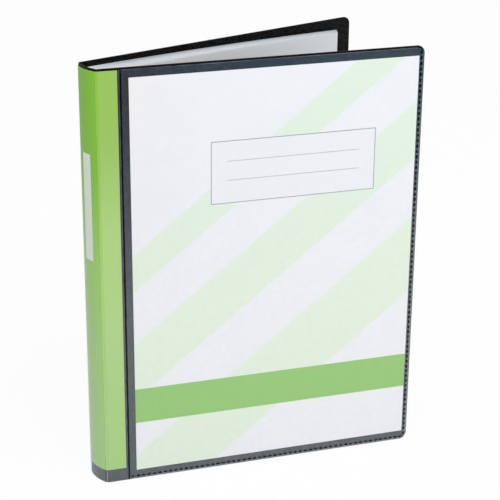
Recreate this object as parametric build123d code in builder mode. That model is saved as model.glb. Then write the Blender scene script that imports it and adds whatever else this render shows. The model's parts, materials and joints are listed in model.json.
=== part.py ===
"""A4 display book with clear pockets, standing slightly open.

A black polypropylene cover creased along both edges of its bowed spine, a clear film over the front
and round the spine, a title sheet and a spine label behind the film, and forty clear pockets bound
to the inside of the spine. Millimetres, +Z up, front cover facing -Y, origin under the middle.
"""
from math import asin, atan2, cos, degrees, radians, sin, tan
import os

from build123d import *

# Cover sheet
cover_height = 311.5
panel_width = 235.0
cover_thickness = 1.0
corner_radius = 5.5
spine_chord = 21.5
spine_bulge = 2.0

# Creases: pressed bands of the cover sheet, with a fold line along each side
crease_width = 2.4
crease_thickness = 0.4
fold_clearance = 0.1

# How far the front cover stands open, measured from closed
front_open = 18.75

# Clear outer film and its welds
film_thickness = 0.2
film_edge_margin = 0.4
film_top_gap = 1.4
weld_line_offset = 15.2
weld_line_width = 1.4
stitch_inset = 2.2
stitch_pitch = 4.05
stitch_length = 2.6
stitch_width = 1.5
stitch_end_gap = 2.0

# Printed inserts behind the film
insert_thickness = 0.2
insert_clearance = 0.15
sheet_height = 297.0
sheet_lift = 7.3
sheet_fore_gap = 4.0
sheet_weld_gap = 5.1
label_height = 299.7
label_lift = 10.3
label_weld_gap = 1.3

# Pockets and their binding
pocket_count = 40
pocket_height = 300.0
pocket_top_gap = 3.9
pocket_fore_gap = 13.0
pocket_droop = 4.6
droop_steps = 4
pocket_film = 0.05
pocket_slit = 0.03
pocket_seam = 2.0
pocket_fore_pitch = 0.175
pocket_front_clearance = 0.75
pocket_back_clearance = 0.45
binding_base = 2.6
front_margin = 1.7
back_margin = 5.7
binding_shoulder = 0.2
pocket_fold_gap = 0.3


def heading(angle):
    """Unit vector in plan at an angle from +X."""
    return Vector(cos(radians(angle)), sin(radians(angle)))


def face_plane(origin, angle):
    """Upright plane through a plan point: local X along the angle, local Y up."""
    along = heading(angle)
    return Plane(origin=origin, x_dir=along, z_dir=along.cross(Vector(0, 0, 1)))


def setback(inner_depth, turn):
    """How far a layer stops short of a fold line, so that it clears the next one at that turn."""
    return inner_depth * tan(radians(turn / 2)) + fold_clearance


# Layers, as depths below the film's outer face
insert_depth = film_thickness + insert_clearance
insert_inner = insert_depth + insert_thickness
cover_depth = insert_inner + insert_clearance
cover_inner = cover_depth + cover_thickness
crease_inner = cover_depth + crease_thickness

# Headings of the sections in plan, from the front fore edge round the spine to the back
back_heading = front_open
spine_heading = 90 + front_open
spine_radius = (spine_chord**2 / 4 + spine_bulge**2) / (2 * spine_bulge)
spine_half_angle = degrees(asin(spine_chord / 2 / spine_radius))
front_turn = (180 - spine_heading - spine_half_angle) / 2
back_turn = (spine_heading - spine_half_angle - back_heading) / 2
front_crease_heading = -front_turn
back_crease_heading = back_heading + back_turn
front_closed_turn = front_turn + front_open

# Fold lines in plan, on the film's outer face, first with the front fold at zero
front_inner = Vector(0, 0) - crease_width * heading(front_crease_heading)
back_inner = front_inner + spine_chord * heading(spine_heading)
back_outer = back_inner + crease_width * heading(back_crease_heading)
back_corner = back_outer + panel_width * heading(back_heading) + cover_depth * heading(back_heading - 90)
spine_middle = (front_inner + back_inner) * 0.5
spine_centre = spine_middle + (spine_radius - spine_bulge) * heading(back_heading)
footprint_centre = Vector(spine_centre.X - spine_radius + panel_width, back_corner.Y) * 0.5

# The same lines with the origin under the middle of the footprint
front_face = face_plane(-footprint_centre, 0)
back_face = face_plane(back_outer - footprint_centre, back_heading)
front_crease_face = face_plane(front_inner - footprint_centre, front_crease_heading)
back_crease_face = face_plane(back_inner - footprint_centre, back_crease_heading)

# Spine plane: local X into the book, local Y from the front crease to the back crease
spine_plane = Plane(origin=front_inner - footprint_centre, x_dir=heading(back_heading), z_dir=(0, 0, 1))
arc_centre = Vector(spine_radius - spine_bulge, spine_chord / 2)


def bowed_strip(depth, thickness):
    """Plan section of a layer round the bowed spine, short of both fold lines."""
    outer = spine_radius - depth
    inner = outer - thickness
    front_stop = spine_half_angle - degrees(setback(depth + thickness, front_closed_turn) / outer)
    back_stop = spine_half_angle - degrees(setback(depth + thickness, back_turn) / outer)
    sweep = front_stop + back_stop
    with BuildSketch() as section:
        with BuildLine():
            outside = CenterArc(arc_centre, outer, 180 - back_stop, sweep)
            inside = CenterArc(arc_centre, inner, 180 - back_stop, sweep)
            Line(outside @ 0, inside @ 0)
            Line(outside @ 1, inside @ 1)
        make_face()
    return section.sketch


def finish(name, solid):
    """Labels a finished piece and writes it."""
    solid.label = name
    export_step(solid, f"parts/{name}.step")


os.makedirs("parts", exist_ok=True)

# Spine: the middle of the cover sheet, with the film and the label bowed round it
with BuildPart() as spine_panel:
    with BuildSketch(spine_plane):
        add(bowed_strip(cover_depth, cover_thickness))
    extrude(amount=cover_height)
finish("spine_panel", spine_panel.part)

film_height = cover_height - film_top_gap - film_edge_margin
with BuildPart() as spine_film:
    with BuildSketch(spine_plane.offset(film_edge_margin)):
        add(bowed_strip(0, film_thickness))
    extrude(amount=film_height)
finish("spine_film", spine_film.part)

with BuildPart() as label_spine:
    with BuildSketch(spine_plane.offset(label_lift)):
        add(bowed_strip(insert_depth, insert_thickness))
    extrude(amount=label_height)
finish("label_spine", label_spine.part)

# Creases and label flaps, the same on both sides; inward is the way into the book from each face
sides = (
    ("front", front_crease_face, front_face, -1, front_closed_turn, front_turn),
    ("back", back_crease_face, back_face, 1, back_turn, back_turn),
)
label_flap_end = weld_line_offset - weld_line_width / 2 - label_weld_gap
for side, crease_face, panel_face, inward, spine_turn, panel_turn in sides:
    with BuildPart() as crease:
        start = setback(crease_inner, spine_turn)
        width = crease_width - start - setback(crease_inner, panel_turn)
        with BuildSketch(crease_face.offset(inward * cover_depth)):
            with Locations((start, 0)):
                Rectangle(width, cover_height, align=Align.MIN)
        extrude(amount=inward * crease_thickness)
    finish(f"{side}_crease", crease.part)

    with BuildPart() as crease_film:
        start = setback(film_thickness, spine_turn)
        width = crease_width - start - setback(film_thickness, panel_turn)
        with BuildSketch(crease_face):
            with Locations((start, film_edge_margin)):
                Rectangle(width, film_height, align=Align.MIN)
        extrude(amount=inward * film_thickness)
    finish(f"{side}_crease_film", crease_film.part)

    with BuildPart() as label_fold:
        start = setback(insert_inner, spine_turn)
        width = crease_width - start - setback(insert_inner, panel_turn)
        with BuildSketch(crease_face.offset(inward * insert_depth)):
            with Locations((start, label_lift)):
                Rectangle(width, label_height, align=Align.MIN)
        extrude(amount=inward * insert_thickness)
    finish(f"label_{side}_fold", label_fold.part)

    with BuildPart() as label_flap:
        start = setback(insert_inner, panel_turn)
        with BuildSketch(panel_face.offset(inward * insert_depth)):
            with Locations((start, label_lift)):
                Rectangle(label_flap_end - start, label_height, align=Align.MIN)
        extrude(amount=inward * insert_thickness)
    finish(f"label_{side}_flap", label_flap.part)

    with BuildPart() as cover_panel:
        start = setback(cover_inner, panel_turn)
        with BuildSketch(panel_face.offset(inward * cover_depth)) as outline:
            with Locations((start, 0)):
                Rectangle(panel_width - start, cover_height, align=Align.MIN)
            fillet(outline.vertices().group_by(Axis.X)[-1], corner_radius)
        extrude(amount=inward * cover_thickness)
    finish(f"{side}_cover_panel", cover_panel.part)

# Front film: one sheet from the crease to the fore edge, open along the top, standing off the cover by
# the title pocket's room and held down by the weld line and the stitch-look weld
with BuildLine() as stitch_line:
    FilletPolyline(
        (weld_line_offset, stitch_inset),
        (panel_width - stitch_inset, stitch_inset),
        (panel_width - stitch_inset, cover_height - film_top_gap - stitch_end_gap),
        radius=corner_radius - stitch_inset,
    )
stitch_path = stitch_line.wire()
stitch_count = int(stitch_path.length / stitch_pitch)
stitch_places = []
for index in range(stitch_count):
    share = (index + 0.5) / stitch_count
    along = stitch_path % share
    stitch_places.append(Location(stitch_path @ share, (0, 0, degrees(atan2(along.Y, along.X)))))

pocket_room = cover_depth - film_thickness
with BuildPart() as front_film:
    film_start = setback(film_thickness, front_turn)
    with BuildSketch(front_face) as film_outline:
        with Locations((film_start, film_edge_margin)):
            Rectangle(panel_width - film_edge_margin - film_start, film_height, align=Align.MIN)
        fillet(film_outline.vertices().group_by(Axis.X)[-1], corner_radius - film_edge_margin)
    extrude(amount=-film_thickness)
    with BuildSketch(front_face.offset(-film_thickness)):
        with Locations((weld_line_offset, film_edge_margin)):
            Rectangle(weld_line_width, film_height, align=(Align.CENTER, Align.MIN))
        with Locations(*stitch_places[1:]):
            Rectangle(stitch_length, stitch_width)
    extrude(amount=-pocket_room)
finish("front_film", front_film.part)

# Back flap of the film: the label pocket's other side, welded down along its own line
with BuildPart() as back_flap_film:
    flap_start = setback(film_thickness, back_turn)
    flap_end = weld_line_offset + weld_line_width / 2
    with BuildSketch(back_face):
        with Locations((flap_start, film_edge_margin)):
            Rectangle(flap_end - flap_start, film_height, align=Align.MIN)
    extrude(amount=film_thickness)
    with BuildSketch(back_face.offset(film_thickness)):
        with Locations((weld_line_offset, film_edge_margin)):
            Rectangle(weld_line_width, film_height, align=(Align.CENTER, Align.MIN))
    extrude(amount=pocket_room)
finish("back_flap_film", back_flap_film.part)

# Title sheet: A4, held between the front film and the cover, with its named gaps to the weld and the edge
sheet_start = weld_line_offset + weld_line_width / 2 + sheet_weld_gap
sheet_width = panel_width - sheet_fore_gap - sheet_start
with BuildPart() as title_sheet:
    with BuildSketch(front_face.offset(-insert_depth)):
        with Locations((sheet_start, sheet_lift)):
            Rectangle(sheet_width, sheet_height, align=Align.MIN)
    extrude(amount=-insert_thickness)
finish("title_sheet", title_sheet.part)

# Pocket roots along the spine, clear of both covers when they are closed, and a welded margin for each,
# shorter towards the front so that the front pockets' fore edges step back
pocket_thickness = 2 * pocket_film + pocket_slit
first_root = cover_inner - crease_width * sin(radians(front_turn)) + pocket_front_clearance
last_root = spine_chord + crease_width * sin(radians(back_turn)) - cover_inner - pocket_back_clearance
root_pitch = (last_root - first_root) / (pocket_count - 1)
roots = [first_root + index * root_pitch for index in range(pocket_count)]
pocket_bottom = cover_height - pocket_top_gap - pocket_height
binding_face = cover_inner - spine_bulge + binding_base
margin_step = (back_margin - front_margin) / (pocket_count - 1)
margins = [front_margin + index * margin_step for index in range(pocket_count)]
fold_lines = [binding_face + margin + pocket_fold_gap / 2 for margin in margins]

# Binding: a strip seated on the bowed spine, with the welded margin of every pocket standing on it
with BuildPart() as pocket_binding:
    with BuildSketch(spine_plane.offset(pocket_bottom)):
        with Locations((-spine_bulge, first_root - binding_shoulder)):
            Rectangle(
                binding_face + spine_bulge,
                last_root - first_root + 2 * binding_shoulder,
                align=Align.MIN,
            )
        with Locations(arc_centre):
            Circle(spine_radius - cover_inner, mode=Mode.INTERSECT)
        for margin, root in zip(margins, roots):
            with Locations((binding_face, root)):
                Rectangle(margin, pocket_thickness, align=(Align.MIN, Align.CENTER))
    extrude(amount=pocket_height)
finish("pocket_binding", pocket_binding.part)


# Pockets: two films welded along three sides and open at the top, fanned from the spine so that
# they lie closer together at the fore edge, a set gap inside the back cover's edge
pocket_start = pocket_fold_gap / 2
fore_edge = crease_width * cos(radians(back_turn)) + panel_width - pocket_fore_gap
pocket_end = fore_edge - fold_lines[-1]


def drooped_edge(near, far, height):
    """Points along an edge that sinks towards the fore edge, more and more steeply."""
    places = [near + (far - near) * step / droop_steps for step in range(droop_steps + 1)]
    return [(place, height - pocket_droop * (place / pocket_end) ** 2) for place in places]


def drooped_outline(near, far, low, high):
    """Upright outline of a pocket, or of the slit in it, measured from the fold line."""
    return drooped_edge(near, far, low) + drooped_edge(far, near, high)


pocket_outline = drooped_outline(pocket_start, pocket_end, pocket_bottom, pocket_bottom + pocket_height)
slit_outline = drooped_outline(
    pocket_start + pocket_seam,
    pocket_end - pocket_seam,
    pocket_bottom + pocket_seam,
    pocket_bottom + pocket_height + pocket_seam,
)
for index, (root, fold_line) in enumerate(zip(roots, fold_lines)):
    spread = (root_pitch - pocket_fore_pitch) * (pocket_count - 1 - index)
    lean = degrees(asin(spread / pocket_end))
    fold_point = spine_plane.from_local_coords(Vector(fold_line, root))
    pocket_face = face_plane(fold_point, back_heading + lean)
    with BuildPart() as pocket:
        with BuildSketch(pocket_face):
            Polygon(*pocket_outline, align=None)
        extrude(amount=pocket_thickness / 2, both=True)
        with BuildSketch(pocket_face):
            Polygon(*slit_outline, align=None)
        extrude(amount=pocket_slit / 2, both=True, mode=Mode.SUBTRACT)
    finish(f"pocket_{index + 1:02d}", pocket.part)
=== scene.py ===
"""Looks of an A4 display book: black cover, clear film, printed inserts and forty clear pockets.

Lengths are in metres, in the frame of the CAD model.
"""
import json
import math
import random

import bpy
from mathutils import Matrix, Vector


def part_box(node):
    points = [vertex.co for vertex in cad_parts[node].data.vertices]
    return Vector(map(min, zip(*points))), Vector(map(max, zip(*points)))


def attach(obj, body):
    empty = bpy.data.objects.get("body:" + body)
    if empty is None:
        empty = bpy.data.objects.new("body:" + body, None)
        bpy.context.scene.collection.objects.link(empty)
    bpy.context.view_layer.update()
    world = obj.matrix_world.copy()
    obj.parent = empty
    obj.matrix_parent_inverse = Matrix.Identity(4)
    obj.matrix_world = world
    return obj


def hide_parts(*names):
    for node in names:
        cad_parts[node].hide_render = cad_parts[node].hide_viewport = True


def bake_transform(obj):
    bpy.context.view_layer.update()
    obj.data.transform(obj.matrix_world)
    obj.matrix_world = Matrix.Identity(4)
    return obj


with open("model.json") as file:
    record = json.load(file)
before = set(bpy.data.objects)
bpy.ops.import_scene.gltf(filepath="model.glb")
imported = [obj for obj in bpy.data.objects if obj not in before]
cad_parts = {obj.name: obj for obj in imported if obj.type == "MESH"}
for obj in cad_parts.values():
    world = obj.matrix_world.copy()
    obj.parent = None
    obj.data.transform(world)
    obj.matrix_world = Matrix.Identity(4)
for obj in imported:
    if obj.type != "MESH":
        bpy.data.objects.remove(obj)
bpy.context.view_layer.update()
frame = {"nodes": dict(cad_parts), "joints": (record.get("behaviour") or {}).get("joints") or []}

# Cover sheet: one piece of black polypropylene, with the front, the spine and the back as its panels.
# It is extruded with a fine matt grain on both sides, die-cut with rounded corners and pressed thin
# along both creases. A narrow skin bends across each fold line, so the sheet looks whole at its folds
# in the rest pose.
cover_nodes = ("front_cover_panel", "front_crease", "spine_panel", "back_crease", "back_cover_panel")
cover_dark = (0.0008, 0.0008, 0.0009, 1)
cover_light = (0.0145, 0.0145, 0.0152, 1)
cover_gloss = 0.05
cover_roughness = (0.42, 0.60)
cover_grain = 750
cover_grain_edges = (0.41, 0.59)
cover_grain_depth = 0.00008
spine_bulge = 0.002
skin_reach = 0.0009
skin_depths = (0.00074, 0.00106)
skin_steps = 5


def new_finish(name):
    """A material, its nodes and links, and its Principled shader."""
    finish = bpy.data.materials.new(name)
    finish.use_nodes = True
    tree = finish.node_tree
    return finish, tree.nodes, tree.links, tree.nodes["Principled BSDF"]


def grain_of(nodes, links, scale, detail=3, stretch=(1, 1, 1)):
    """Noise on the piece's own coordinates, with so many grains to the metre."""
    place = nodes.new("ShaderNodeTexCoord")
    turn = nodes.new("ShaderNodeMapping")
    turn.inputs["Scale"].default_value = stretch
    noise = nodes.new("ShaderNodeTexNoise")
    noise.inputs["Scale"].default_value = scale
    noise.inputs["Detail"].default_value = detail
    links.new(place.outputs["Object"], turn.inputs["Vector"])
    links.new(turn.outputs["Vector"], noise.inputs["Vector"])
    return noise.outputs["Fac"]


def ramp_of(nodes, links, driver, low, high, start=0.3, stop=0.7):
    """A colour that goes from low to high as the driver does from start to stop."""
    ramp = nodes.new("ShaderNodeValToRGB")
    first, last = ramp.color_ramp.elements
    first.position, first.color = start, low
    last.position, last.color = stop, high
    links.new(driver, ramp.inputs["Fac"])
    return ramp.outputs["Color"]


def range_of(nodes, links, driver, low, high, start=0.3, stop=0.7):
    """A number that goes from low to high as the driver does from start to stop."""
    span = nodes.new("ShaderNodeMapRange")
    for name, value in (("From Min", start), ("From Max", stop), ("To Min", low), ("To Max", high)):
        span.inputs[name].default_value = value
    links.new(driver, span.inputs["Value"])
    return span.outputs["Result"]


def emboss(nodes, links, shader, height, depth):
    """Bump of that depth, in metres, on a shader."""
    bump = nodes.new("ShaderNodeBump")
    bump.inputs["Distance"].default_value = depth
    links.new(height, bump.inputs["Height"])
    links.new(bump.outputs["Normal"], shader.inputs["Normal"])


def paint(node, finish):
    """Gives a CAD node one finish."""
    slots = frame["nodes"][node].data.materials
    slots.clear()
    slots.append(finish)


def heading(angle):
    """Unit vector in plan."""
    return Vector((math.cos(angle), math.sin(angle)))


def inward(way):
    """Into the book, square to a run that goes from the front round the spine to the back."""
    return Vector((way.y, -way.x))


def mitre(before, after):
    """Where a layer at a depth of one turns the corner between two runs, from the fold line."""
    first, second = inward(before), inward(after)
    return (first + second) / (1 + first.dot(second))


def mesh_piece(name, points, faces):
    """A new object from points and faces, with its place in its mesh."""
    mesh = bpy.data.meshes.new(name)
    mesh.from_pydata(points, [], faces)
    mesh.update()
    piece = bpy.data.objects.new(name, mesh)
    bpy.context.scene.collection.objects.link(piece)
    return piece


def swept_faces(columns, around):
    """Faces of a closed section carried along columns, with both ends capped."""
    faces = [tuple(range(around - 1, -1, -1))]
    for column in range(columns - 1):
        for step in range(around):
            near = column * around + step
            side = column * around + (step + 1) % around
            faces.append((near, side, side + around, near + around))
    last = (columns - 1) * around
    faces.append(tuple(range(last, last + around)))
    return faces


def upright(name, ring, low, high):
    """A closed piece that stands on a ring of plan points, from one height to another."""
    area = sum(spot.cross(following) for spot, following in zip(ring, ring[1:] + ring[:1]))
    if area < 0:
        ring = ring[::-1]
    points = [(*spot, z) for z in (low, high) for spot in ring]
    return mesh_piece(name, points, swept_faces(2, len(ring)))


black_sheet, nodes, links, shader = new_finish("black_polypropylene")
fine = grain_of(nodes, links, cover_grain, detail=2)
pigment = ramp_of(nodes, links, fine, cover_dark, cover_light, *cover_grain_edges)
links.new(pigment, shader.inputs["Base Color"])
links.new(range_of(nodes, links, fine, *cover_roughness), shader.inputs["Roughness"])
emboss(nodes, links, shader, fine, cover_grain_depth)
shader.inputs["Specular IOR Level"].default_value = cover_gloss
for node in cover_nodes:
    paint(node, black_sheet)

joints = {joint["name"]: joint for joint in frame["joints"]}
fold_joints = ("front_cover_swing", "front_crease_close", "back_crease_swing", "back_cover_swing")
front_outer, front_inner, back_inner, back_outer = (
    Vector(joints[name]["pos_m"][:2]) for name in fold_joints
)
book_open = math.radians(-joints["front_crease_close"]["range_deg"][0])
chord = back_inner - front_inner
spine_radius = (chord.length_squared / 4 + spine_bulge**2) / (2 * spine_bulge)
half_angle = math.asin(chord.length / 2 / spine_radius)
spine_angle = book_open + math.pi / 2
front_way = heading(math.pi)
front_crease_way = (front_inner - front_outer).normalized()
spine_start_way = heading(spine_angle + half_angle)
spine_stop_way = heading(spine_angle - half_angle)
back_crease_way = (back_outer - back_inner).normalized()
back_way = heading(book_open)
folds = {
    "front_outer": (front_outer, front_way, front_crease_way, "front_cover", "front_crease"),
    "front_inner": (front_inner, front_crease_way, spine_start_way, "front_crease", "spine"),
    "back_inner": (back_inner, spine_stop_way, back_crease_way, "spine", "back_crease"),
    "back_outer": (back_outer, back_crease_way, back_way, "back_crease", "back_cover"),
}
cover_low, cover_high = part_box("front_cover_panel")
for name, (fold, before, after, first_body, second_body) in folds.items():
    start = fold - before * skin_reach
    stop = fold + after * skin_reach
    layers = []
    for depth in skin_depths:
        corner = fold + mitre(before, after) * depth
        ends = (start + inward(before) * depth, stop + inward(after) * depth)
        layer = [ends[0].lerp(corner, step / skin_steps) for step in range(skin_steps)]
        layer += [corner.lerp(ends[1], step / skin_steps) for step in range(skin_steps + 1)]
        layers.append(layer)
    skin = upright(name + "_fold_skin", layers[0] + layers[1][::-1], cover_low.z, cover_high.z)
    skin.data.materials.append(black_sheet)
    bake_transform(skin)

# Pockets: forty pairs of thin clear polypropylene film, welded along the spine, the fore edge and the
# bottom and open at the top. Stacked, they turn milky; their mouths carry painted shade that changes
# from leaf to leaf, and each leaf gets painted shade towards the fore edge. Each sags a little and
# lies on the next, and its welded margin stands in the comb of the binding.
pocket_film_thickness = 0.00005
pocket_thickness = 0.00013
pocket_droop = 0.0046
pocket_hollow = 0.0026
pocket_mouth = 0.011
pocket_gape = 0.00004
first_pocket_gape = 0.0011
pocket_wave = 0.0026
pocket_wave_leaves = 12.5
pocket_wave_start = 2
pocket_unevenness = 0.0001
pocket_start = 0.00015
pocket_columns = 28
pocket_rows = 10
pocket_seed = 11
# The grey-blue that the painted shade turns the film to, and the film's own milky white.
pocket_painted_shade_colour = (0.64, 0.70, 0.76, 1)
pocket_bright = (0.962, 0.985, 1.0, 1)
# Painted shade on the mouths: least at one leaf part-way down the stack, dipping towards the front and
# most at the back, with a random flick per leaf; more painted shade towards the fore edge, fading out
# near the spine.
pocket_crest = 0.43
pocket_dip = 0.25
pocket_fleck = 0.08
pocket_fore_shade = 0.29
pocket_root_fade = 0.14
pocket_mottle = 0.05
pocket_alpha = 0.68
pocket_roughness = (0.27, 0.33)
pocket_streak = 9
pocket_streak_stretch = (1, 1, 0.2)
pocket_peel = 420
pocket_peel_depth = 0.000002


def calc(nodes, links, operation, *values):
    """A Math node on numbers and sockets."""
    node = nodes.new("ShaderNodeMath")
    node.operation = operation
    for socket, value in zip(node.inputs, values):
        if isinstance(value, (int, float)):
            socket.default_value = value
        else:
            links.new(value, socket)
    return node.outputs["Value"]


def pocket_section(low, high, gape):
    """Points round a pocket's upright section: up the back film, into the mouth and down the front."""
    front, back = -pocket_thickness / 2, pocket_thickness / 2
    throat = high - pocket_mouth
    rise = [low + (throat - low) * row / pocket_rows for row in range(pocket_rows + 1)]
    lips = [
        (back + pocket_gape, high),
        (back + pocket_gape - pocket_film_thickness, high),
        (0, throat + back),
        (front - gape + pocket_film_thickness, high),
        (front - gape, high),
    ]
    return [(back, z) for z in rise] + lips + [(front, z) for z in reversed(rise)]


pocket_names = sorted(
    name for name in frame["nodes"] if name.startswith("pocket_") and name[-1].isdigit()
)
milky_film, nodes, links, shader = new_finish("pocket_film")
# The film goes from milky white to grey-blue by the painted shade stored on each leaf, with a random
# mottle.
painted = nodes.new("ShaderNodeAttribute")
painted.attribute_name = "shade"
streaks = grain_of(nodes, links, pocket_streak, stretch=pocket_streak_stretch)
mottle = range_of(nodes, links, streaks, -pocket_mottle, pocket_mottle)
shade = calc(nodes, links, "ADD", painted.outputs["Fac"], mottle)
tone = ramp_of(nodes, links, shade, pocket_bright, pocket_painted_shade_colour, 0.0, 1.0)
links.new(tone, shader.inputs["Base Color"])
peel = grain_of(nodes, links, pocket_peel, detail=1)
links.new(range_of(nodes, links, peel, *pocket_roughness), shader.inputs["Roughness"])
emboss(nodes, links, shader, peel, pocket_peel_depth)
shader.inputs["Alpha"].default_value = pocket_alpha

# The hollow follows t * (1 - t)**2, whose greatest value this is.
hollow_peak = 4 / 27
uneven = random.Random(pocket_seed)
for index, name in enumerate(pocket_names):
    low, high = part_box(name)
    fold = Vector(joints[name + "_turn"]["pos_m"][:2])
    reach = Vector((high.x, high.y)) - fold
    along = reach.normalized()
    backward = Vector((-along.y, along.x))
    depth_share = index / (len(pocket_names) - 1)
    hollow = pocket_hollow * (1 - depth_share)
    crest = math.sin(2 * math.pi * (index + pocket_wave_start) / pocket_wave_leaves)
    lift = pocket_wave * (crest - 1) / 2 + uneven.uniform(-pocket_unevenness, pocket_unevenness)
    gape = pocket_gape if index else first_pocket_gape
    # This leaf's painted shade at its mouth, from its place in the stack.
    lip_shade = (depth_share - pocket_crest) / (1 - pocket_crest)
    if depth_share < pocket_crest:
        lip_shade = pocket_dip * math.sin(math.pi * depth_share / pocket_crest)
    lip_shade += uneven.uniform(-pocket_fleck, pocket_fleck)
    points = []
    shades = []
    for column in range(pocket_columns):
        t = column / (pocket_columns - 1)
        swell = math.sin(math.pi * t)
        foot = fold + along * (pocket_start + (reach.length - pocket_start) * t)
        foot += backward * hollow * t * (1 - t) ** 2 / hollow_peak
        sag = pocket_droop * t**2
        top = high.z - sag + lift * swell
        section = pocket_section(low.z + pocket_droop - sag, top, gape * swell)
        points += [(*(foot + backward * depth), z) for depth, z in section]
        # Painted shade stored on the points: over the mouth, and towards the fore edge over the whole
        # leaf.
        root_fade = min(1, t / pocket_root_fade)
        in_mouth = [root_fade * max(0, 1 - (top - z) / pocket_mouth) for depth, z in section]
        shades += [pocket_fore_shade * t**2 + lip_shade * share for share in in_mouth]
    around = len(points) // pocket_columns
    pocket = mesh_piece(name + "_leaf", points, swept_faces(pocket_columns, around))
    pocket.data.attributes.new("shade", "FLOAT", "POINT").data.foreach_set("value", shades)
    pocket.data.materials.append(milky_film)
    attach(pocket, name)
    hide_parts(name)

paint("pocket_binding", milky_film)

# Spine label: a strip of printed green paper, folded round the spine with a flap on either side.
# It is pushed down from the top between the film and the cover, and only its own fold holds it.
# The green is strong at the top, pales downwards and has an empty panel on the spine. Across the spine
# it darkens from the front fold towards the back, which is painted shade.
label_depth = 0.00035
label_paper = 0.0002
spine_steps = 24
label_fold_room = math.radians(1)
label_fold_blend = 0.0017
flap_green = (0.30, 0.535, 0.062, 1)
flap_green_pale = (0.40, 0.625, 0.145, 1)
flap_green_low = (0.365, 0.605, 0.128, 1)
flap_fade = (0.26, 0.195)
flap_fade_low = (0.14, 0.06)
# The spine's greens darken from the front fold towards the back: painted shade.
spine_green_near = (0.262, 0.612, 0.036, 1)
spine_green_far = (0.224, 0.52, 0.036, 1)
spine_pale_near = (0.385, 0.715, 0.119, 1)
spine_pale_far = (0.40, 0.61, 0.15, 1)
spine_fade = (0.24, 0.165)
label_speck = 260
label_mottle = 0.012
panel_pale = (0.84, 0.88, 0.80, 1)
panel_size = (0.0092, 0.078)
panel_up = 0.212
paper_roughness = (0.45, 0.6)
paper_fibre = 900
paper_fibre_depth = 0.00002
paper_gloss = 0.3


def over(nodes, links, mask, under, upper):
    """One colour printed over another where the mask is 1."""
    mix = nodes.new("ShaderNodeMix")
    mix.data_type = "RGBA"
    links.new(mask, mix.inputs["Factor"])
    sockets = [socket for socket in mix.inputs if socket.type == "RGBA"]
    for socket, colour in zip(sockets, (under, upper)):
        if isinstance(colour, tuple):
            socket.default_value = colour
        else:
            links.new(colour, socket)
    return next(socket for socket in mix.outputs if socket.type == "RGBA")


def box_mask(nodes, links, across, up, middle, size):
    """1 inside a rectangle on two coordinates, and 0 outside."""
    sides = []
    for value, centre, length in zip((across, up), middle, size):
        offset = calc(nodes, links, "ABSOLUTE", calc(nodes, links, "SUBTRACT", value, centre))
        sides.append(calc(nodes, links, "LESS_THAN", offset, length / 2))
    return calc(nodes, links, "MULTIPLY", *sides)


def placed_at(nodes, links, origin, turn=0.0):
    """Object coordinates X, Y and Z measured from a point and turned about the upright."""
    place = nodes.new("ShaderNodeTexCoord")
    move = nodes.new("ShaderNodeMapping")
    move.vector_type = "TEXTURE"
    move.inputs["Location"].default_value = origin
    move.inputs["Rotation"].default_value = (0, 0, turn)
    parts = nodes.new("ShaderNodeSeparateXYZ")
    links.new(place.outputs["Object"], move.inputs["Vector"])
    links.new(move.outputs["Vector"], parts.inputs["Vector"])
    return parts.outputs


def paper_surface(nodes, links, shader):
    """The faint fibre and uneven gloss of printed paper."""
    fibre = grain_of(nodes, links, paper_fibre, detail=4)
    links.new(range_of(nodes, links, fibre, *paper_roughness), shader.inputs["Roughness"])
    emboss(nodes, links, shader, fibre, paper_fibre_depth)
    shader.inputs["Specular IOR Level"].default_value = paper_gloss


green_label, nodes, links, shader = new_finish("green_label")
spot = placed_at(nodes, links, (*front_inner, 0), book_open)
panel_middle = (chord.length / 2, panel_up)
panel = box_mask(nodes, links, spot["Y"], spot["Z"], panel_middle, panel_size)
speck = range_of(nodes, links, grain_of(nodes, links, label_speck), -label_mottle, label_mottle)
fade = calc(nodes, links, "ADD", range_of(nodes, links, spot["Z"], 0.0, 1.0, *flap_fade), speck)
flap_ink = over(nodes, links, fade, flap_green, flap_green_pale)
fade = range_of(nodes, links, spot["Z"], 0.0, 1.0, *flap_fade_low)
flap_ink = over(nodes, links, fade, flap_ink, flap_green_low)
# Painted shade across the spine, darker towards its back.
to_back = range_of(nodes, links, spot["Y"], 0.0, 1.0, 0.0, chord.length)
strong = ramp_of(nodes, links, to_back, spine_green_near, spine_green_far, 0.0, 1.0)
pale = ramp_of(nodes, links, to_back, spine_pale_near, spine_pale_far, 0.0, 1.0)
fade = calc(nodes, links, "ADD", range_of(nodes, links, spot["Z"], 0.0, 1.0, *spine_fade), speck)
spine_ink = over(nodes, links, fade, strong, pale)
on_spine = range_of(nodes, links, spot["X"], 1.0, 0.0, label_depth, label_depth + label_fold_blend)
ink = over(nodes, links, on_spine, flap_ink, spine_ink)
links.new(over(nodes, links, panel, ink, panel_pale), shader.inputs["Base Color"])
paper_surface(nodes, links, shader)

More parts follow.
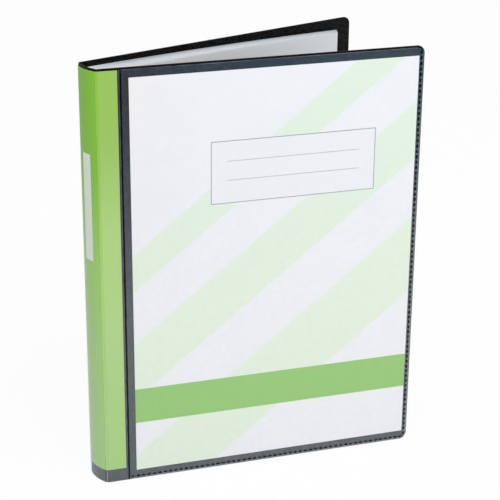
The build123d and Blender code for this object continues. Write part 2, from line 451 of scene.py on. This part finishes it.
corners = {name: (fold, mitre(before, after)) for name, (fold, before, after, *_) in folds.items()}
bow_centre = (front_inner + back_inner) / 2 + back_way * (spine_radius - spine_bulge)
bow = []
for step in range(1, spine_steps):
    into = heading(book_open + half_angle * (1 - 2 * step / spine_steps))
    bow.append((bow_centre - into * spine_radius, into))
closing = Matrix.Rotation(book_open + label_fold_room, 2)
closed_crease_way = closing @ front_crease_way
closed_spine_way = closing.inverted() @ spine_start_way
fold_stop = (front_inner, mitre(front_crease_way, closed_spine_way))
spine_start = (front_inner, mitre(closed_crease_way, spine_start_way))
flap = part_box("label_front_flap")[1].x - front_outer.x
label_runs = {
    "label_front_flap": [(front_outer - front_way * flap, inward(front_way)), corners["front_outer"]],
    "label_front_fold": [corners["front_outer"], fold_stop],
    "label_spine": [spine_start, *bow, corners["back_inner"]],
    "label_back_fold": [corners["back_inner"], corners["back_outer"]],
    "label_back_flap": [corners["back_outer"], (back_outer + back_way * flap, inward(back_way))],
}
for name, run in label_runs.items():
    low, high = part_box(name)
    ring = [point + into * label_depth for point, into in run]
    ring += [point + into * (label_depth + label_paper) for point, into in reversed(run)]
    strip = upright(name + "_strip", ring, low.z, high.z)
    strip.data.materials.append(green_label)
    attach(strip, name)
    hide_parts(name)

# Title sheet: an A4 sheet of white card printed in pale and strong green, with an empty frame for a
# title. It slides down behind the front film, and the welds keep it in its corner.
paper_white = (0.868, 0.852, 0.862, 1)
paper_shade = (0.848, 0.832, 0.844, 1)
paper_cloud = 40
pale_green = (0.765, 0.845, 0.695, 1)
strong_green = (0.25, 0.545, 0.075, 1)
frame_grey = (0.30, 0.32, 0.35, 1)
stripe_turn = math.radians(38)
stripes = ((-0.014, 0.046), (0.062, 0.034), (0.122, 0.022))
band_middle = 0.052
band_height = 0.027
title_middle = (0.118, 0.224)
title_size = (0.122, 0.046)
title_line = 0.0006
rule_middles = (0.232, 0.218)
rule_size = (0.098, 0.00035)
sheet_low, sheet_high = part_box("title_sheet")

printed_sheet, nodes, links, shader = new_finish("printed_sheet")
spot = placed_at(nodes, links, sheet_low)
across, up = spot["X"], spot["Z"]
tone = ramp_of(nodes, links, grain_of(nodes, links, paper_cloud), paper_shade, paper_white)
rise = calc(nodes, links, "MULTIPLY", up, math.cos(stripe_turn))
run = calc(nodes, links, "MULTIPLY", across, math.sin(stripe_turn))
slant = calc(nodes, links, "SUBTRACT", rise, run)
for middle, width in stripes:
    offset = calc(nodes, links, "ABSOLUTE", calc(nodes, links, "SUBTRACT", slant, middle))
    tone = over(nodes, links, calc(nodes, links, "LESS_THAN", offset, width / 2), tone, pale_green)
sheet_width = sheet_high.x - sheet_low.x
band_size = (2 * sheet_width, band_height)
band = box_mask(nodes, links, across, up, (sheet_width / 2, band_middle), band_size)
tone = over(nodes, links, band, tone, strong_green)
outer = box_mask(nodes, links, across, up, title_middle, title_size)
inner_size = [length - 2 * title_line for length in title_size]
inner = box_mask(nodes, links, across, up, title_middle, inner_size)
tone = over(nodes, links, outer, tone, frame_grey)
tone = over(nodes, links, inner, tone, paper_shade)
for rule in rule_middles:
    line = box_mask(nodes, links, across, up, (title_middle[0], rule), rule_size)
    tone = over(nodes, links, line, tone, frame_grey)
links.new(tone, shader.inputs["Base Color"])
paper_surface(nodes, links, shader)
paint("title_sheet", printed_sheet)

# Clear outer film: glossy polypropylene over the front and round the spine, open at the top.
# It lies a little off the black sheet and greys it with a faint haze. A painted reflection is added to
# that haze, bluish grey at the top and paler towards the foot, and a painted highlight lies in the
# sealed margin past the welds. Where it bends round the front fold, a painted highlight makes a fine
# pale line at the foot.
film_nodes = ("front_film", "front_crease_film", "spine_film", "back_crease_film", "back_flap_film")
# Colours of the haze and its painted reflection: bluish grey at the top, less blue at the left, paler
# at the foot.
film_haze_reflection_upper = (0.38, 0.70, 1.0, 1)
film_haze_reflection_upper_left = (0.45, 0.55, 0.72, 1)
film_left_reach = (0.023, 0.073)
film_haze_reflection_lower = (0.84, 0.91, 1.0, 1)
# How strong the haze and painted reflection are, by height along a slant, and on the spine.
film_haze_and_reflection = (0.058, 0.113)
film_reflection_heights = (0.31, 0.14)
film_reflection_lean = 0.2
film_reflection_on_spine = (1.5, 0.3)
film_spine_heights = (0.04, 0.20)
film_haze_roughness = 0.6
film_cloud = (0.85, 1.15)
film_side_margin = 0.0021
film_bottom_margin = 0.0012
# A painted highlight in the sealed margin, lighter towards the foot.
film_margin_highlight = (0.22, 0.125)
film_margin_highlight_heights = (0.04, 0.28)
film_gloss_colour = (0.80, 0.94, 1.0, 1)
film_gloss = (0.12, 0.75)
film_ior = 1.5
film_roughness = (0.05, 0.12)
film_scuff = 240
film_wave = 26
film_wave_stretch = (1, 1, 0.5)
film_wave_depth = 0.0004
# A painted highlight along the front fold near the foot.
film_fold_highlight = (0.36, 0.0)
film_fold_highlight_heights = (0.008, 0.018)
film_fold_highlight_reach = 0.00065
fold_round = 0.002
weld_offset = 0.0152
film_low, film_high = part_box("front_film")

clear_film, nodes, links, haze_and_reflection = new_finish("clear_film")
spot = placed_at(nodes, links, (0, 0, 0))
across, up = spot["X"], spot["Z"]
# Haze with a painted reflection that grows towards the foot, and less of it on the upper spine.
leaning = calc(nodes, links, "SUBTRACT", up, calc(nodes, links, "MULTIPLY", across, film_reflection_lean))
height = range_of(nodes, links, leaning, 0.0, 1.0, *film_reflection_heights)
from_spine = calc(nodes, links, "SUBTRACT", across, front_outer.x)
at_left = range_of(nodes, links, from_spine, 1.0, 0.0, *film_left_reach)
upper = over(nodes, links, at_left, film_haze_reflection_upper, film_haze_reflection_upper_left)
links.new(over(nodes, links, height, upper, film_haze_reflection_lower), haze_and_reflection.inputs["Base Color"])
haze_and_reflection.inputs["Roughness"].default_value = film_haze_roughness
haze_and_reflection.inputs["Specular IOR Level"].default_value = 0.0
gloss = nodes.new("ShaderNodeBsdfAnisotropic")
gloss.inputs["Color"].default_value = film_gloss_colour
scuffs = grain_of(nodes, links, film_scuff)
links.new(range_of(nodes, links, scuffs, *film_roughness), gloss.inputs["Roughness"])
wave = grain_of(nodes, links, film_wave, detail=2, stretch=film_wave_stretch)
emboss(nodes, links, gloss, wave, film_wave_depth)
geometry = nodes.new("ShaderNodeNewGeometry")
outside = calc(nodes, links, "SUBTRACT", 1.0, geometry.outputs["Backfacing"])
on_front = range_of(nodes, links, from_spine, 0.0, 1.0, -fold_round, fold_round)
spine_share = range_of(nodes, links, up, *film_reflection_on_spine, *film_spine_heights)
front_gain = calc(nodes, links, "SUBTRACT", 1.0, spine_share)
covered = calc(nodes, links, "MULTIPLY_ADD", on_front, front_gain, spine_share)
haze_and_painted_light = calc(nodes, links, "MULTIPLY", range_of(nodes, links, height, *film_haze_and_reflection, 0.0, 1.0), covered)
past_side = calc(nodes, links, "GREATER_THAN", across, film_high.x - film_side_margin)
past_bottom = calc(nodes, links, "LESS_THAN", up, film_low.z + film_bottom_margin)
past_weld = calc(nodes, links, "GREATER_THAN", from_spine, weld_offset)
along_bottom = calc(nodes, links, "MULTIPLY", past_bottom, past_weld)
sealed = calc(nodes, links, "MAXIMUM", past_side, along_bottom)
# Painted highlight in the sealed margin past the welds.
margin = range_of(nodes, links, up, *film_margin_highlight, *film_margin_highlight_heights)
haze_and_painted_light = calc(nodes, links, "MAXIMUM", haze_and_painted_light, calc(nodes, links, "MULTIPLY", sealed, margin))
# Painted highlight along the middle of the front fold, near the foot.
fold_middle = (front_inner.x - front_outer.x) / 2
from_fold = calc(nodes, links, "ABSOLUTE", calc(nodes, links, "SUBTRACT", from_spine, fold_middle))
crest = range_of(nodes, links, from_fold, 1.0, 0.0, 0.0, film_fold_highlight_reach)
at_foot = range_of(nodes, links, up, *film_fold_highlight, *film_fold_highlight_heights)
haze_and_painted_light = calc(nodes, links, "MAXIMUM", haze_and_painted_light, calc(nodes, links, "MULTIPLY", crest, at_foot))
cloud = range_of(nodes, links, scuffs, *film_cloud)
haze_and_painted_light_share = calc(nodes, links, "MULTIPLY", calc(nodes, links, "MULTIPLY", haze_and_painted_light, cloud), outside)
clear = nodes.new("ShaderNodeBsdfTransparent")
body = nodes.new("ShaderNodeMixShader")
links.new(haze_and_painted_light_share, body.inputs["Fac"])
links.new(clear.outputs["BSDF"], body.inputs[1])
links.new(haze_and_reflection.outputs["BSDF"], body.inputs[2])
fresnel = nodes.new("ShaderNodeFresnel")
fresnel.inputs["IOR"].default_value = film_ior
# The glossy reflection is also made stronger towards the foot.
gloss_by_height = calc(nodes, links, "MULTIPLY", range_of(nodes, links, height, *film_gloss, 0.0, 1.0), outside)
shine = calc(nodes, links, "MULTIPLY", fresnel.outputs["Fac"], gloss_by_height)
coat = nodes.new("ShaderNodeMixShader")
links.new(shine, coat.inputs["Fac"])
links.new(body.outputs["Shader"], coat.inputs[1])
links.new(gloss.outputs["BSDF"], coat.inputs[2])
links.new(coat.outputs["Shader"], nodes["Material Output"].inputs["Surface"])
for node in film_nodes:
    paint(node, clear_film)

# Welds: the film is fused to the cover by a row of stitch-like dashes along the bottom and the fore
# edge and by one plain line beside the spine. Where it is fused there is no air, so the black shows.
stitch_inset = 0.00248
stitch_pitch = 0.00405
stitch_length = 0.0026
stitch_width = 0.0015
stitch_height = 0.00006
stitch_merge = 0.000006
stitch_round = 0.0005
round_steps = 3
stitch_start = 0.68
stitch_end_gap = 0.002
cover_corner = 0.0055
corner_steps = 8
weld_width = 0.0014
weld_crown = 0.8
weld_height = 0.00005
weld_black = (0.0012, 0.0012, 0.0014, 1)
weld_grey = (0.015, 0.0155, 0.0165, 1)
# The weld's black turns grey towards the foot: a painted reflection, as on the film.
weld_reflection_heights = (0.31, 0.03)
weld_fleck = 0.12
weld_gloss = 0.03
weld_roughness = (0.4, 0.65)
weld_pits = 2200
weld_pit_depth = 0.00003
lip_offset = 0.0008
lip_radius = 0.00014
lip_sides = 6
# Greys of the film's cut edges and lips: a painted highlight, uneven at random.
film_edge_highlight_dark = (0.05, 0.06, 0.07, 1)
film_edge_highlight_light = (0.20, 0.23, 0.25, 1)
film_edge_roughness = (0.2, 0.4)
film_edge_fray = 60

weld_finish, nodes, links, shader = new_finish("weld_black")
pitted = grain_of(nodes, links, weld_pits, detail=2)
fleck = range_of(nodes, links, pitted, -weld_fleck, weld_fleck)
# Painted reflection greying the weld towards the foot, with random flecks.
pale = range_of(nodes, links, placed_at(nodes, links, (0, 0, 0))["Z"], 0.0, 1.0, *weld_reflection_heights)
flecks_and_reflection = calc(nodes, links, "ADD", pale, fleck)
links.new(ramp_of(nodes, links, flecks_and_reflection, weld_black, weld_grey, 0.0, 1.0), shader.inputs["Base Color"])
links.new(range_of(nodes, links, pitted, *weld_roughness), shader.inputs["Roughness"])
emboss(nodes, links, shader, pitted, weld_pit_depth)
shader.inputs["Specular IOR Level"].default_value = weld_gloss

front_out = -inward(front_way)
turn_radius = cover_corner - stitch_inset
stitch_left = front_outer.x + weld_offset
stitch_right = cover_high.x - stitch_inset
stitch_top = film_high.z - stitch_end_gap
path = [(stitch_left, front_outer.y, stitch_inset)]
for step in range(corner_steps + 1):
    corner = heading(math.pi / 2 * (step / corner_steps - 1)) * turn_radius
    across = stitch_right - turn_radius + corner.x
    path.append((across, front_outer.y, stitch_inset + turn_radius + corner.y))
path.append((stitch_right, front_outer.y, stitch_top))
corner_saving = (2 - math.pi / 2) * turn_radius
path_length = stitch_right - stitch_left + stitch_top - stitch_inset - corner_saving
stitch_count = int(path_length / stitch_pitch)
line_mesh = bpy.data.meshes.new("stitch_line")
line_mesh.from_pydata(path, [(step, step + 1) for step in range(len(path) - 1)], [])
stitch_line = bpy.data.objects.new("stitch_line", line_mesh)
bpy.context.scene.collection.objects.link(stitch_line)

stitching = bpy.data.node_groups.new("stitch_welds", "GeometryNodeTree")
stitching.interface.new_socket("Geometry", in_out="INPUT", socket_type="NodeSocketGeometry")
settings = {
    "Count": ("NodeSocketInt", stitch_count),
    "Start": ("NodeSocketFloat", stitch_start / stitch_count),
    "End": ("NodeSocketFloat", 1 - (1 - stitch_start) / stitch_count),
    "Dash Length": ("NodeSocketFloat", stitch_length),
    "Dash Width": ("NodeSocketFloat", stitch_width),
    "Dash Height": ("NodeSocketFloat", stitch_height),
    "Dash Rounding": ("NodeSocketFloat", stitch_round),
}
sockets = {
    name: stitching.interface.new_socket(name, in_out="INPUT", socket_type=kind)
    for name, (kind, value) in settings.items()
}
stitching.interface.new_socket("Geometry", in_out="OUTPUT", socket_type="NodeSocketGeometry")
steps = stitching.nodes
wires = stitching.links
given = steps.new("NodeGroupInput")
result = steps.new("NodeGroupOutput")
as_curve = steps.new("GeometryNodeMeshToCurve")
trim = steps.new("GeometryNodeTrimCurve")
places = steps.new("GeometryNodeResampleCurve")
outline = steps.new("GeometryNodeCurvePrimitiveQuadrilateral")
rounded = steps.new("GeometryNodeFilletCurve")
rounded.mode = "POLY"
rounded.inputs["Count"].default_value = round_steps
face = steps.new("GeometryNodeFillCurve")
face.mode = "NGONS"
raised = steps.new("GeometryNodeExtrudeMesh")
raised.inputs["Individual"].default_value = False
under = steps.new("GeometryNodeFlipFaces")
closed = steps.new("GeometryNodeJoinGeometry")
welded = steps.new("GeometryNodeMergeByDistance")
welded.inputs["Distance"].default_value = stitch_merge
tangent = steps.new("GeometryNodeInputTangent")
aim = steps.new("FunctionNodeAxesToRotation")
aim.primary_axis = "X"
aim.secondary_axis = "Z"
aim.inputs["Secondary Axis"].default_value = (*front_out, 0)
dashes = steps.new("GeometryNodeInstanceOnPoints")
real = steps.new("GeometryNodeRealizeInstances")
black = steps.new("GeometryNodeSetMaterial")
black.inputs["Material"].default_value = weld_finish
wires.new(given.outputs["Geometry"], as_curve.inputs["Mesh"])
wires.new(as_curve.outputs["Curve"], trim.inputs["Curve"])
wires.new(given.outputs["Start"], trim.inputs["Start"])
wires.new(given.outputs["End"], trim.inputs["End"])
wires.new(trim.outputs["Curve"], places.inputs["Curve"])
wires.new(given.outputs["Count"], places.inputs["Count"])
wires.new(given.outputs["Dash Length"], outline.inputs["Width"])
wires.new(given.outputs["Dash Width"], outline.inputs["Height"])
wires.new(outline.outputs["Curve"], rounded.inputs["Curve"])
wires.new(given.outputs["Dash Rounding"], rounded.inputs["Radius"])
wires.new(rounded.outputs["Curve"], face.inputs["Curve"])
wires.new(face.outputs["Mesh"], raised.inputs["Mesh"])
wires.new(given.outputs["Dash Height"], raised.inputs["Offset Scale"])
wires.new(face.outputs["Mesh"], under.inputs["Mesh"])
wires.new(raised.outputs["Mesh"], closed.inputs["Geometry"])
wires.new(under.outputs["Mesh"], closed.inputs["Geometry"])
wires.new(closed.outputs["Geometry"], welded.inputs["Geometry"])
wires.new(tangent.outputs["Tangent"], aim.inputs["Primary Axis"])
wires.new(places.outputs["Curve"], dashes.inputs["Points"])
wires.new(welded.outputs["Geometry"], dashes.inputs["Instance"])
wires.new(aim.outputs["Rotation"], dashes.inputs["Rotation"])
wires.new(dashes.outputs["Instances"], real.inputs["Geometry"])
wires.new(real.outputs["Geometry"], black.inputs["Geometry"])
wires.new(black.outputs["Geometry"], result.inputs["Geometry"])

sewing = stitch_line.modifiers.new("stitch_welds", "NODES")
sewing.node_group = stitching
for name, (kind, value) in settings.items():
    sewing[sockets[name].identifier] = value
bpy.context.view_layer.update()
evaluated = stitch_line.evaluated_get(bpy.context.evaluated_depsgraph_get())
stitch_mesh = bpy.data.meshes.new_from_object(evaluated)
stitch_line.modifiers.remove(sewing)
stitch_line.data = stitch_mesh
stitch_line.name = "stitch_dashes"
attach(stitch_line, "front_cover")

film_edge_highlight, nodes, links, shader = new_finish("film_edge_highlight_finish")
frayed = grain_of(nodes, links, film_edge_fray, detail=4)
links.new(ramp_of(nodes, links, frayed, film_edge_highlight_dark, film_edge_highlight_light), shader.inputs["Base Color"])
links.new(range_of(nodes, links, frayed, *film_edge_roughness), shader.inputs["Roughness"])


def bead(name, start, stop, body):
    """A thin straight bead of clear film between two points, in a grey that is a painted highlight."""
    way = (stop - start).normalized()
    side = way.orthogonal().normalized()
    other = way.cross(side)
    points = []
    for end in (start, stop):
        for step in range(lip_sides):
            turn = heading(2 * math.pi * step / lip_sides) * lip_radius
            points.append(end + side * turn.x + other * turn.y)
    piece = mesh_piece(name, points, swept_faces(2, lip_sides))
    piece.data.materials.append(film_edge_highlight)
    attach(piece, body)


def weld_line(name, fold, along, out, body):
    """A pressed black line beside the spine, with the film's raised lip along its spine side in
    painted highlight grey.
    """
    half = along * weld_width / 2
    rise = out * weld_height
    middle = fold + along * weld_offset
    ring = [middle - half, middle - half * weld_crown + rise, middle + half * weld_crown + rise]
    ring += [middle + half, middle + half - rise, middle - half - rise]
    line = upright(name, ring, film_low.z, film_high.z)
    line.data.materials.append(weld_finish)
    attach(line, body)
    lip = middle - along * lip_offset
    bead(name + "_lip", Vector((*lip, film_low.z)), Vector((*lip, film_high.z)), body)


weld_line("front_weld_line", front_outer, -front_way, front_out, "front_cover")
weld_line("back_weld_line", back_outer, back_way, -inward(back_way), "back_cover")
# The film's top edge at the mouth, as a bead whose grey is a painted highlight.
mouth_y = front_outer.y + lip_radius
mouth_start = Vector((stitch_left, mouth_y, film_high.z))
mouth_stop = Vector((cover_high.x - cover_corner, mouth_y, film_high.z))
bead("film_mouth_edge", mouth_start, mouth_stop, "front_cover")

# Studio: a plain pale floor and background with soft light, as a product shot has.
# The floor shows white to the camera and in reflections, and keeps the book's soft shadow.
# The camera's place, lens and turn follow from the four corners of the A4 sheet in the picture.
floor_size = 8.0
floor_grey = (0.88, 0.88, 0.88, 1)
floor_roughness = 0.9
floor_white_share = 0.95
world_light = 0.6
key_power = 27
key_size = 1.5
key_from = Vector((0.55, -1.45, 1.7))
aim_at = Vector((0, 0, 0.14))

scene = bpy.context.scene
scene.view_settings.view_transform = "Standard"
half = floor_size / 2
floor_corners = [(-half, -half, 0), (half, -half, 0), (half, half, 0), (-half, half, 0)]
floor = mesh_piece("floor", floor_corners, [(0, 1, 2, 3)])


def seen_directly(nodes, links):
    """1 for rays from the camera, in reflections and through clear film."""
    ray = nodes.new("ShaderNodeLightPath")
    shown = calc(nodes, links, "MAXIMUM", ray.outputs["Is Camera Ray"], ray.outputs["Is Glossy Ray"])
    return calc(nodes, links, "MAXIMUM", shown, ray.outputs["Is Transmission Ray"])


floor_finish, nodes, links, shader = new_finish("floor_white")
shader.inputs["Base Color"].default_value = floor_grey
shader.inputs["Roughness"].default_value = floor_roughness
shader.inputs["Specular IOR Level"].default_value = 0.0
white = nodes.new("ShaderNodeEmission")
white.inputs["Strength"].default_value = 1.0
mix = nodes.new("ShaderNodeMixShader")
share = calc(nodes, links, "MULTIPLY", seen_directly(nodes, links), floor_white_share)
links.new(share, mix.inputs["Fac"])
links.new(shader.outputs["BSDF"], mix.inputs[1])
links.new(white.outputs["Emission"], mix.inputs[2])
links.new(mix.outputs["Shader"], nodes["Material Output"].inputs["Surface"])
floor.data.materials.append(floor_finish)

world = bpy.data.worlds.new("studio")
world.use_nodes = True
scene.world = world
nodes = world.node_tree.nodes
links = world.node_tree.links
backdrop = nodes["Background"]
backdrop.inputs["Color"].default_value = (1, 1, 1, 1)
strength = range_of(nodes, links, seen_directly(nodes, links), world_light, 1.0, 0.0, 1.0)
links.new(strength, backdrop.inputs["Strength"])

lamp = bpy.data.lights.new("key_light", "AREA")
lamp.energy = key_power
lamp.size = key_size
holder = bpy.data.objects.new("key_light", lamp)
holder.location = key_from
holder.rotation_euler = (aim_at - key_from).to_track_quat("-Z", "Y").to_euler()
scene.collection.objects.link(holder)

camera_from_sheet = Vector((-0.234356, -0.991459, 0.578407))
camera_yaw = 0.31246
camera_pitch = -0.37857
camera_roll = 0.00846
focal_pixels = 1575.19
image_pixels = 500
sensor_width = 36.0
lens = bpy.data.cameras.new("camera")
lens.sensor_width = sensor_width
lens.lens = focal_pixels * sensor_width / image_pixels
camera = bpy.data.objects.new("camera", lens)
look = Matrix.Rotation(-camera_yaw, 4, "Z") @ Matrix.Rotation(math.pi / 2 + camera_pitch, 4, "X")
look = look @ Matrix.Rotation(camera_roll, 4, "Z")
camera.matrix_world = Matrix.Translation(sheet_low + camera_from_sheet) @ look
scene.collection.objects.link(camera)
scene.camera = camera
